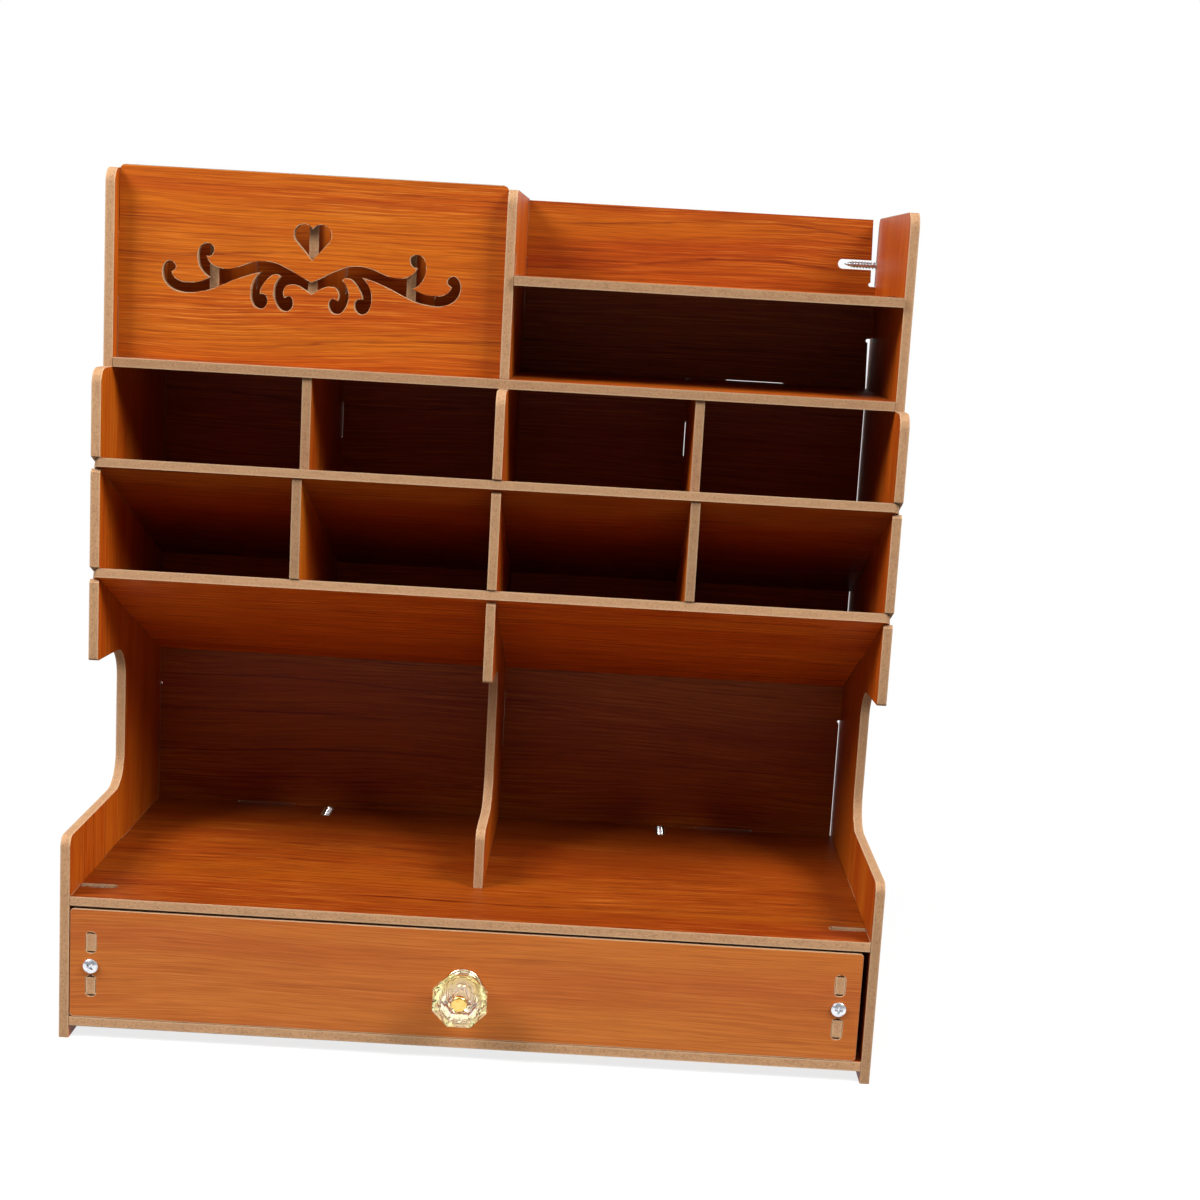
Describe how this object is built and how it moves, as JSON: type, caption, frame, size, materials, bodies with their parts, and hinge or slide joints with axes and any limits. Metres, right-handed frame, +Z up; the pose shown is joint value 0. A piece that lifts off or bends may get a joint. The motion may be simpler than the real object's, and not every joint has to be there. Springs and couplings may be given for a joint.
{
  "type": "desk organizer",
  "caption": "Stepped wooden desk organiser and pen holder: pen columns behind a cut-out panel, a tray, sloped card tiers, an open tier and a drawer with a faceted knob.",
  "frame": {"origin": "on the desk, under the middle of the whole, knob and screw heads included", "axes": "+X to the right seen from the front, +Y from the front to the back, +Z up"},
  "size_m": [0.3094, 0.1598, 0.3255],
  "materials": {
    "cherry_laminate": "printed cherry wood grain on thin fibreboard, satin, raw tan edges",
    "drawer_laminate": "paler printed wood grain on thin fibreboard, satin, raw tan edges",
    "zinc_plated_steel": "bright zinc plating",
    "gilt_metal": "polished gilt metal",
    "clear_acrylic": "clear cut acrylic, faceted, faintly yellow"
  },
  "bodies": {
    "carcass": {"side_panel_left": "cherry_laminate", "side_panel_right": "cherry_laminate", "centre_panel": "cherry_laminate", "back_panel": "cherry_laminate", "base_board": "cherry_laminate", "lower_floor": "cherry_laminate", "upper_floor": "cherry_laminate", "tray_floor": "cherry_laminate", "sloped_shelf_lower": "cherry_laminate", "sloped_shelf_upper": "cherry_laminate", "card_divider_left": "cherry_laminate", "card_divider_right": "cherry_laminate", "ornament_panel": "cherry_laminate", "pen_divider_1": "cherry_laminate", "pen_divider_2": "cherry_laminate", "pen_divider_3": "cherry_laminate", "side_screws_left": "zinc_plated_steel", "side_screws_right": "zinc_plated_steel", "back_screws": "zinc_plated_steel"},
    "drawer": {"drawer_front": "drawer_laminate", "drawer_side_left": "drawer_laminate", "drawer_side_right": "drawer_laminate", "drawer_back": "drawer_laminate", "drawer_bottom": "drawer_laminate", "drawer_screws": "zinc_plated_steel", "knob_rosette": "gilt_metal", "knob_crystal": "clear_acrylic", "knob_post": "gilt_metal", "knob_screw": "zinc_plated_steel"}
  },
  "joints": [
    {"name": "drawer_slide", "type": "slide", "parent": "carcass", "child": "drawer", "axis": [0, -1, 0], "range_m": [0, 0.1]}
  ]
}
